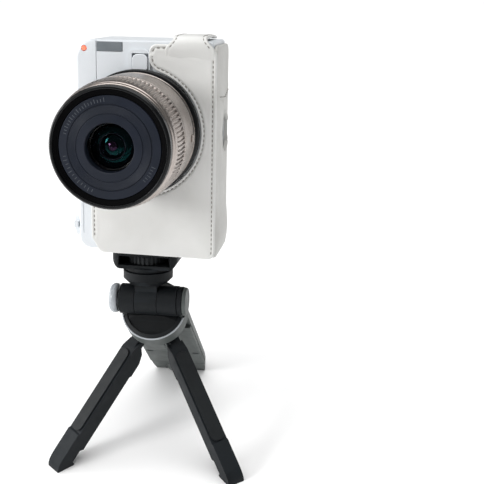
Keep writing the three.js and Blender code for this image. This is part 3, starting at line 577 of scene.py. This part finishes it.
def make_grip_trim():
    """The bright arc under the dome, and the dark liner beside it."""
    profile = rounded([(18.72, -1.3), (19.55, -1.3), (19.55, -0.95), (19.25, -0.6), (18.72, -0.6)], 0.12)
    trim = swept_arc(profile, 192.5, 347.5, 120)
    weigh_normals(new_piece("trim_arc", *trim, GRIP, "rear_leg", M["knob"], ["trim_ring"], "bright_trim"))
    liner = swept_arc([(16.42, -0.27), (18.4, -0.86), (18.4, -0.7), (16.42, -0.1)], 194, 346, 96)
    weigh_normals(new_piece("dome_liner", *liner, GRIP, "rear_leg", M["rubber"], slot="rubber"))


def make_lock_knob():
    """The round knob at the left end of the tilt hinge, turned about the tilt axis."""
    profile = rounded([(0, -26), (5.6, -26), (8.0, -25.3), (9.0, -23.6), (9.0, -21.9), (8.3, -20.7),
                       (4.7, -20.7), (4.4, -20.4), (4.4, -17.3), (0, -17.3)], 0.9, 5)
    along_x = HINGE @ Matrix.Rotation(math.radians(-90), 4, "Z")
    weigh_normals(new_piece("lock_knob", *turned(profile, 96), along_x, "lock_button", M["knob"],
                            ["lock_button"], "bright_trim"))


make_grip_trim()
make_lock_knob()

# ---------------------------------------------------------------- half case
CASE_LEFT, CASE_RIGHT = -28.2, 43.5
CASE_LOW, CASE_HIGH = 0.2, 118.8
CASE_FRONT, CASE_BACK = -22.6, 22.3
LEATHER = 1.6
FLAP_LEFT = 5.9
LENS_HOLE = 34.9
SOCKET = (12.1, 67.9)  # y, z of the round cut-out
SOCKET_HOLE = 10.8
STITCH_INSET = 2.0
STRAP_MIDDLE = 28.5
STRAP_HALF, STRAP_FLARE = 9.5, 14.0  # half widths on top and at the flap
STRAP_STEPS = 60
STRAP_SEAM = 2.2  # inset of its stitches
STRAP_SEAM_LOW = 116.4  # height at which they start


def arc(centre, radius, start, end, steps=12):
    angles = np.radians(np.linspace(start, end, steps + 1))
    return [(centre[0] + radius * math.cos(a), centre[1] + radius * math.sin(a)) for a in angles]


def resample(points, count):
    """The polyline at `count` even steps along its length."""
    points = np.array(points, float)
    lengths = np.r_[0, np.cumsum(np.linalg.norm(np.diff(points, axis=0), axis=1))]
    at = np.linspace(0, lengths[-1], count)
    return np.stack([np.interp(at, lengths, points[:, k]) for k in range(2)], axis=1)


def chained(sections, counts):
    """Sections resampled one by one and joined without doubled ends."""
    rows = [resample(section, count) for section, count in zip(sections, counts)]
    return np.concatenate([rows[0]] + [row[1:] for row in rows[1:]])


def distance_to(points, line):
    """Distance from each point to a polyline."""
    a, b = line[:-1], line[1:]
    d = b - a
    square = np.maximum((d * d).sum(1), 1e-12)
    t = np.clip(((points[:, None, :] - a[None]) * d[None]).sum(2) / square[None], 0, 1)
    near = a[None] + t[..., None] * d[None]
    return np.linalg.norm(points[:, None, :] - near, axis=2).min(1)


def fillet_to_hole(edge, radius, inset, sign):
    """Centre and meeting angle of a round corner between an upright edge and the lens hole."""
    x = edge + radius
    z = sign * math.sqrt((LENS_HOLE + radius) ** 2 - x * x)
    return (x, LENS_HEIGHT + z), math.degrees(math.atan2(z, x)), radius - inset


def flap_sections(inset=0.0):
    """The flap's inner edge (round the lens) and outer edge, each in three matching stretches."""
    hole = LENS_HOLE + inset
    middle = (0, LENS_HEIGHT)
    upper, upper_angle, upper_radius = fillet_to_hole(FLAP_LEFT, 8, inset, 1)
    lower, lower_angle, lower_radius = fillet_to_hole(CASE_LEFT, 3.4, inset, -1)
    inner = [
        arc(upper, upper_radius, 180, 180 + upper_angle) + arc(middle, hole, upper_angle, 45),
        arc(middle, hole, 45, -58, 40),
        arc(middle, hole, -58, lower_angle, 24) + arc(lower, lower_radius, lower_angle + 180, 180),
    ]
    left, low = CASE_LEFT + inset, CASE_LOW + inset
    top_left = (FLAP_LEFT + 4.5, CASE_HIGH - 4.5)
    top_right = (CASE_RIGHT - 6, CASE_HIGH - 6)
    low_right = (CASE_RIGHT - 4, CASE_LOW + 2.9)
    low_radius = max(4 - inset, 0.5)
    low_left = [(CASE_LEFT + 6.4, low), (CASE_LEFT + 4.8 + inset * 0.4, low + 0.7), (left + 0.9, low + 7.2),
                (left, low + 9.2)]
    outer = [
        arc(top_left, 4.5 - inset, 180, 90) + arc(top_right, 6 - inset, 90, 45, 6),
        arc(top_right, 6 - inset, 45, 0, 6) + arc(low_right, low_radius, 0, -45, 6),
        arc(low_right, low_radius, -45, -90, 6) + low_left,
    ]
    return inner, outer


# Distances from an edge at which a panel has rows of vertices.
EDGE_STEPS = (0, 0.06, 0.16, 0.32, 0.55, 0.85, 1.2, 1.55, 1.85, 2.1, 2.3, 2.5, 2.75, 3.05, 3.5)


def ruled_grid(inner, outer, middle_steps=12):
    """Points between two matching edges, close together near both."""
    gap = np.linalg.norm(outer - inner, axis=1)
    rows = []
    for start, end, length in zip(inner, outer, gap):
        ends = np.array(EDGE_STEPS) * min(1, length / 8)
        middle = np.linspace(ends[-1], length - ends[-1], middle_steps)[1:-1]
        at = np.concatenate([ends, middle, length - ends[::-1]]) / length
        rows.append(start + at[:, None] * (end - start))
    return np.array(rows)


def leather_height(points, edges, stitches, thick, crown, seed, rim=0.8):
    """Height of a leather panel over its backing: rolled rim, soft crown, sunken seams, faint creases."""
    edge = np.min([distance_to(points, line) for line in edges], axis=0)
    roll = np.sqrt(np.clip(1 - (1 - np.clip(edge / rim, 0, 1)) ** 2, 0, 1))
    height = thick * roll + crown * (1 - np.exp(-((edge / 9) ** 2)))
    for line in stitches:
        seam = distance_to(points, line)
        height -= 0.34 * np.exp(-((seam / 0.42) ** 2)) * roll
        height += 0.16 * np.exp(-(((seam - 1.5) / 0.8) ** 2)) * roll
    inside = np.clip((edge - 1) / 6, 0, 1)
    waves = [0.30 * noise.noise(Vector((x / 21, z / 27, seed)))
             + 0.10 * noise.noise(Vector((x / 7, z / 9, seed + 5))) for x, z in points]
    return height + np.array(waves) * (0.25 + 0.75 * inside) * roll


def leather_panel(name, grid, height, to_space, closed, material, stands_for=()):
    """A closed panel: the shaped outside over a flat inside. to_space(points, height) gives 3D points."""
    rows, columns = grid.shape[:2]
    flat = grid.reshape(-1, 2)
    outside = to_space(flat, height)
    inside = to_space(flat, np.zeros(len(flat)))
    new_piece(name, np.concatenate([outside, inside]), backed_faces(rows, columns, closed), CAMERA,
              "camera", material, stands_for, "case_leather")


STITCH_LENGTH, STITCH_PITCH = 1.75, 2.65
THREAD = 0.27  # radius
STITCH_STEPS = 8  # steps of the seam line in a pitch
STITCH_FROM, STITCH_TO = 1, 6  # the steps between which the thread shows


def stitch_row(line, lift):
    """The two ends of each stitch along a polyline. lift(points) gives 3D points on the leather."""
    line = np.array(line, float)
    length = np.linalg.norm(np.diff(line, axis=0), axis=1).sum()
    count = int(length / STITCH_PITCH)
    spots = lift(resample(line, count * STITCH_STEPS + 1))
    firsts = range(0, count * STITCH_STEPS, STITCH_STEPS)
    return [(spots[first + STITCH_FROM], spots[first + STITCH_TO]) for first in firsts]


def stitches_piece(name, stitches):
    """All the stitches as one piece, each a thin capsule between its two ends."""
    vertices, faces = [], []
    rings = ((0.0, 0.15), (0.12, 0.75), (0.35, 1.0), (0.65, 1.0), (0.88, 0.75), (1.0, 0.15))
    sides = 6
    for start, end in stitches:
        along = end - start
        unit = along / np.linalg.norm(along)
        helper = np.array((0.3, 0.5, 0.8))
        u = np.cross(unit, helper)
        u /= np.linalg.norm(u)
        v = np.cross(unit, u)
        first = len(vertices)
        for t, width in rings:
            for s in range(sides):
                a = 2 * math.pi * s / sides
                vertices.append(start + along * t + (u * math.cos(a) + v * math.sin(a)) * THREAD * width)
        faces += ring_faces(len(rings), sides, first)
        last = first + (len(rings) - 1) * sides
        faces += [tuple(first + s for s in range(sides))[::-1], tuple(last + s for s in range(sides))]
    new_piece(name, vertices, faces, CAMERA, "camera", M["thread"], slot="case_leather")


def front_space(points, height):
    return np.stack([points[:, 0], CASE_FRONT + LEATHER - height, points[:, 1]], axis=1)


def side_space(points, height):
    return np.stack([CASE_RIGHT - LEATHER + height, points[:, 0], points[:, 1]], axis=1)


def make_front_flap():
    inner, outer = flap_sections()
    counts = (40, 92, 66)
    inside, outside = chained(inner, counts), chained(outer, counts)
    grid = ruled_grid(inside, outside)
    loop = np.concatenate([inside, outside[::-1], inside[:1]])
    sewn_inner, sewn_outer = flap_sections(STITCH_INSET)
    seam_in = chained(sewn_inner, counts)
    seam_out = chained(sewn_outer[:2], (60, 120))
    seam_out = seam_out[(seam_out[:, 0] < STRAP_MIDDLE - STRAP_FLARE + STRAP_SEAM) | (seam_out[:, 1] < 112)]
    seam_in = np.concatenate([seam_in, [seam_in[-1] + (0, -2.0 * k) for k in range(1, 17)]])
    flat = grid.reshape(-1, 2)
    height = leather_height(flat, [loop], [seam_in, seam_out], LEATHER, 0.45, 3.0)
    leather_panel("case_front", grid, height, front_space, False, M["leather"], ["case_body"])

    def on_top(points):
        return front_space(points, np.full(len(points), LEATHER + 0.02))

    link = resample([seam_in[0], seam_out[0]], 12)
    left_of_strap = seam_out[seam_out[:, 0] < STRAP_MIDDLE]
    right_of_strap = seam_out[seam_out[:, 0] > STRAP_MIDDLE]
    rows = stitch_row(seam_in, on_top) + stitch_row(link, on_top)
    return rows + stitch_row(left_of_strap, on_top) + stitch_row(right_of_strap, on_top)


def rounded_rectangle(low, high, corner, steps=6):
    """Four matching stretches of a rounded rectangle, each from one corner's middle to the next."""
    x0, y0, x1, y1 = low[0], low[1], high[0], high[1]
    r = corner
    centres = [(x1 - r, y1 - r), (x0 + r, y1 - r), (x0 + r, y0 + r), (x1 - r, y0 + r)]
    sections = []
    for k, centre in enumerate(centres):
        a = 45 + 90 * k
        following = centres[(k + 1) % 4]
        sections.append(arc(centre, r, a, a + 45, steps) + arc(following, r, a + 45, a + 90, steps))
    return sections


def holed_panel(low, high, corner, hole, radius, counts):
    """Grid between a round hole and a rounded rectangle, and its two edges."""
    sections = rounded_rectangle(low, high, corner)
    corners = [section[0] for section in sections] + [sections[0][0]]
    angles = [math.degrees(math.atan2(c[1] - hole[1], c[0] - hole[0])) for c in corners]
    for k in range(1, 5):
        while angles[k] <= angles[k - 1]:
            angles[k] += 360
    rings = [arc(hole, radius, angles[k], angles[k + 1], 24) for k in range(4)]
    inside, outside = chained(rings, counts), chained(sections, counts)
    grid = ruled_grid(inside, outside, 14)[:-1]
    return grid, inside, outside


def make_side_panel():
    counts = (30, 76, 30, 76)
    low, high = (CASE_FRONT + 1.3, CASE_LOW - 1.2), (CASE_BACK, CASE_HIGH - 0.4)
    grid, inside, outside = holed_panel(low, high, 5.0, SOCKET, SOCKET_HOLE, counts)
    flat = grid.reshape(-1, 2)
    seam = np.array([(low[0], 89.5), (-6.0, 88.2), (4.0, 87.4), (11.0, 89.5), (high[0], 92.5)])
    sewn = resample(seam, 40)[5:-5]
    height = leather_height(flat, [inside, outside], [seam], LEATHER, 0.7, 11.0)
    ring = distance_to(flat, inside)
    height += 0.35 * np.exp(-(((ring - 1.1) / 0.7) ** 2))
    over = np.clip((flat[:, 1] - np.interp(flat[:, 0], seam[:, 0], seam[:, 1])) / 0.6, 0, 1)
    height += 0.2 * over * np.clip(distance_to(flat, outside) / 3, 0, 1)
    height += 1.3 * np.exp(-(((flat[:, 1] - 12) / 13) ** 2)) * np.clip(distance_to(flat, outside) / 5, 0, 1)
    leather_panel("case_side", grid, height, side_space, True, M["leather_side"])
    return stitch_row(sewn + (0, 1.6), lambda p: side_space(p, np.full(len(p), LEATHER + 0.95)))


def make_bottom_panel():
    grid, inside, outside = holed_panel((-22.5, -21.2), (42.0, 20.4), 3.0, (0, 0), 5.8, (44, 30, 44, 30))
    flat = grid.reshape(-1, 2)
    height = np.clip(leather_height(flat, [inside, outside], [], 1.4, 0.0, 17.0), 0, 1.45)

    def space(points, rise):
        return np.stack([points[:, 0], points[:, 1], 1.7 - rise], axis=1)

    leather_panel("case_bottom", grid, height, space, True, M["leather_side"])


def make_back_lip():
    right = resample(arc((CASE_RIGHT - 3, 5), 3, -90, 0) + arc((CASE_RIGHT - 6, 110), 6, 0, 90), 90)
    left = resample([(35.4, 2.0), (35.4, 116.0)], 90)
    grid = ruled_grid(left, right, 3)
    loop = np.concatenate([left, right[::-1], left[:1]])
    flat = grid.reshape(-1, 2)
    seam = resample([(37.4, 4.0), (37.4, 113.0)], 60)
    height = leather_height(flat, [loop], [seam], 1.4, 0.15, 23.0)

    def space(points, rise):
        return np.stack([points[:, 0], 20.9 + rise, points[:, 1]], axis=1)

    leather_panel("case_lip", grid, height, space, False, M["leather_side"])
    return stitch_row(seam, lambda p: space(p, np.full(len(p), 1.42)))


def make_tab():
    """The strap that folds from the flap over the top edge, with its two rows of stitches."""
    over_the_edge = arc((-18.2, 118.4), 5.2, 178, 92, 8)
    path = [(-21.6, 105.0), (-22.2, 109.0), (-22.9, 113.0), (-23.4, 116.5), *over_the_edge,
            (-12.0, 123.6), (-4.0, 123.75), (6.0, 123.5), (12.0, 123.1), (15.0, 122.6)]
    spine = resample(path, STRAP_STEPS)
    slope = np.gradient(spine, axis=0)
    slope /= np.linalg.norm(slope, axis=1)[:, None]
    outward = np.stack([-slope[:, 1], slope[:, 0]], axis=1)
    share = np.linspace(0, 1, STRAP_STEPS)
    rise = np.clip((spine[:, 1] - 115.2) / 7.4, 0, 1)
    half = STRAP_FLARE - (STRAP_FLARE - STRAP_HALF) * rise * rise * (3 - 2 * rise)
    half -= 1.6 * np.clip((share - 0.94) / 0.06, 0, 1) ** 2
    half_widths = np.array([0.4, 0.68, 0.74, 0.8, 0.86, 0.92, 0.96, 0.99, 1])
    widths = np.concatenate([-half_widths[::-1], [0], half_widths])
    outside, inside = [], []
    for k in range(STRAP_STEPS):
        base = spine[k] - outward[k] * 1.5
        end = min(k / 2, (STRAP_STEPS - 1 - k) / 2, 1)
        for w in widths:
            edge = (1 - abs(w)) * half[k]
            roll = math.sqrt(max(0, 1 - (1 - min(edge / 0.8, 1)) ** 2))
            seam = 0.3 * math.exp(-(((edge - STRAP_SEAM) / 0.45) ** 2))
            lump = 0.15 * noise.noise(Vector((w * 1.5, k / 9, 2.0)))
            height = (1.45 * roll + 0.25 * (1 - w * w) - seam + lump * roll) * end * min(1, 0.3 + k / 8)
            at = base + outward[k] * max(height, 0)
            outside.append((STRAP_MIDDLE + w * half[k], at[0], at[1]))
            inside.append((STRAP_MIDDLE + w * half[k], base[0], base[1]))
    new_piece("case_strap", outside + inside, backed_faces(STRAP_STEPS, len(widths)), CAMERA, "camera",
              M["leather"], ["case_tab"], "case_leather")
    sewn = []
    for side in (-1, 1):
        line = np.array([(STRAP_MIDDLE + side * (half[k] - STRAP_SEAM), *(spine[k] - outward[k] * 0.05))
                         for k in range(STRAP_STEPS - 2) if spine[k][1] > STRAP_SEAM_LOW])
        at = np.r_[0, np.cumsum(np.linalg.norm(np.diff(line, axis=0), axis=1))]
        for stitch in range(int(at[-1] / STITCH_PITCH)):
            start = stitch * STITCH_PITCH + 0.3
            sewn.append([np.array([np.interp(end, at, line[:, axis]) for axis in range(3)])
                         for end in (start, start + STITCH_LENGTH)])
    return sewn


def make_case():
    sewn = make_front_flap()
    sewn += make_side_panel()
    make_bottom_panel()
    sewn += make_back_lip()
    sewn += make_tab()
    stitches_piece("case_stitches", sewn)


make_case()

# ---------------------------------------------------------------- back and top details
def rounded_plate(name, low, high, corner, thickness, place, body, material, slot):
    """A plate with round corners, drawn in x and z, its front face on y = 0 and its back behind it."""
    outline = chained(rounded_rectangle(low, high, corner), (16, 16, 16, 16))[:-1]
    rings = [(0.5, 0.0), (0.12, 0.06), (0.0, 0.25), (0.0, thickness)]
    middle = (np.array(low) + np.array(high)) / 2
    half = (np.array(high) - np.array(low)) / 2
    vertices = []
    for inset, depth in rings:
        shrunk = middle + (outline - middle) * (1 - inset / half)
        vertices += [(x, depth, z) for x, z in shrunk]
    count = len(outline)
    last = (len(rings) - 1) * count
    faces = ring_faces(len(rings), count) + [tuple(range(count)), tuple(range(last, last + count))]
    weigh_normals(new_piece(name, vertices, faces, place, body, material, slot=slot))


DIAL_CENTRE = (7.5, 50.5)  # y, z
DIAL_MARKS = 18


def make_back_details():
    back = CAMERA @ Matrix.Translation((0, 17.25, 0))
    rounded_plate("screen_glass", (-16.3, 29.2), (30.3, 102.8), 1.5, 0.4, back, "screen", M["screen"],
                  "black_plastic")
    vertices, faces = [], []
    offsets = np.array([(x, *DIAL_CENTRE) for x in (-40.68, -40.5)])
    for k in range(DIAL_MARKS):
        turn = 2 * math.pi * k / DIAL_MARKS
        along = np.array((0, math.cos(turn), math.sin(turn)))
        across = np.array((0, -math.sin(turn), math.cos(turn))) * MARK_HALF
        add_bar(vertices, faces, (4.4 if k % 3 else 3.4, 6.2), offsets, along, across)
    marks = new_piece("dial_marks", vertices, faces, CAMERA, "mode_dial", M["mark"], slot="black_plastic")
    marks.data.shade_flat()


make_back_details()

# ---------------------------------------------------------------- camera, floor and light
ROOM_LIGHT = 0.13
FLOOR_HALF = 30  # metres


def make_camera():
    azimuth, elevation, roll = math.radians(7.606), math.radians(25.231), math.radians(-0.385)
    back = Vector((math.sin(azimuth) * math.cos(elevation), -math.cos(azimuth) * math.cos(elevation),
                   math.sin(elevation)))
    right = (-back).cross(Vector((0, 0, 1))).normalized()
    up = right.cross(-back)
    level, lean = right * math.cos(roll) + up * math.sin(roll), up * math.cos(roll) - right * math.sin(roll)
    data = bpy.data.cameras.new("view")
    data.lens, data.sensor_width = 71.851, 36.0
    camera = bpy.data.objects.new("view", data)
    camera.matrix_world = Matrix((level, lean, back)).transposed().to_4x4()
    camera.location = Vector((0.1213, -0.51066, 0.3755))
    bpy.context.scene.collection.objects.link(camera)
    bpy.context.scene.camera = camera


def make_floor():
    mesh = bpy.data.meshes.new("floor")
    corners = [(x * FLOOR_HALF, y * FLOOR_HALF, 0) for x, y in ((-1, -1), (1, -1), (1, 1), (-1, 1))]
    mesh.from_pydata(corners, [], [(0, 1, 2, 3)])
    floor = bpy.data.objects.new("floor", mesh)
    f = Finish("pale_floor", Roughness=0.9, Specular_IOR_Level=0.1)
    f.colours(f.noise(400), linear(250, 250, 250), linear(248, 248, 248))
    mesh.materials.append(f.material)
    bpy.context.scene.collection.objects.link(floor)


def area_light(name, place, aim, size, power):
    data = bpy.data.lights.new(name, "AREA")
    data.shape, data.size, data.energy = "DISK", size, power
    light = bpy.data.objects.new(name, data)
    light.location = place
    light.rotation_mode = "QUATERNION"
    light.rotation_quaternion = (Vector(aim) - Vector(place)).to_track_quat("-Z", "Y")
    bpy.context.scene.collection.objects.link(light)


def make_light():
    """A soft key from the front left, a wider light from the left and a broad one overhead.
    The room is white to the eye and dim as a light."""
    world = bpy.data.worlds.new("studio")
    bpy.context.scene.world = world
    world.use_nodes = True
    tree = world.node_tree
    path = tree.nodes.new("ShaderNodeLightPath")
    reach = tree.nodes.new("ShaderNodeMapRange")
    reach.inputs["To Min"].default_value, reach.inputs["To Max"].default_value = ROOM_LIGHT, 1.0
    tree.links.new(path.outputs["Is Camera Ray"], reach.inputs["Value"])
    tree.links.new(reach.outputs["Result"], tree.nodes["Background"].inputs["Strength"])
    tree.nodes["Background"].inputs["Color"].default_value = (1, 1, 1, 1)
    area_light("key", (-0.92, -0.80, 0.68), (0, 0, 0.14), 0.5, 9.4)
    area_light("left", (-1.0, 0.12, 0.25), (0, 0, 0.08), 0.8, 5.5)
    overhead = bpy.data.objects.new("overhead", bpy.data.lights.new("overhead", "SUN"))
    overhead.data.energy, overhead.data.angle = 2.92, math.radians(70)
    bpy.context.scene.collection.objects.link(overhead)
    bpy.context.scene.view_settings.view_transform = "Standard"


make_camera()
make_floor()
make_light()
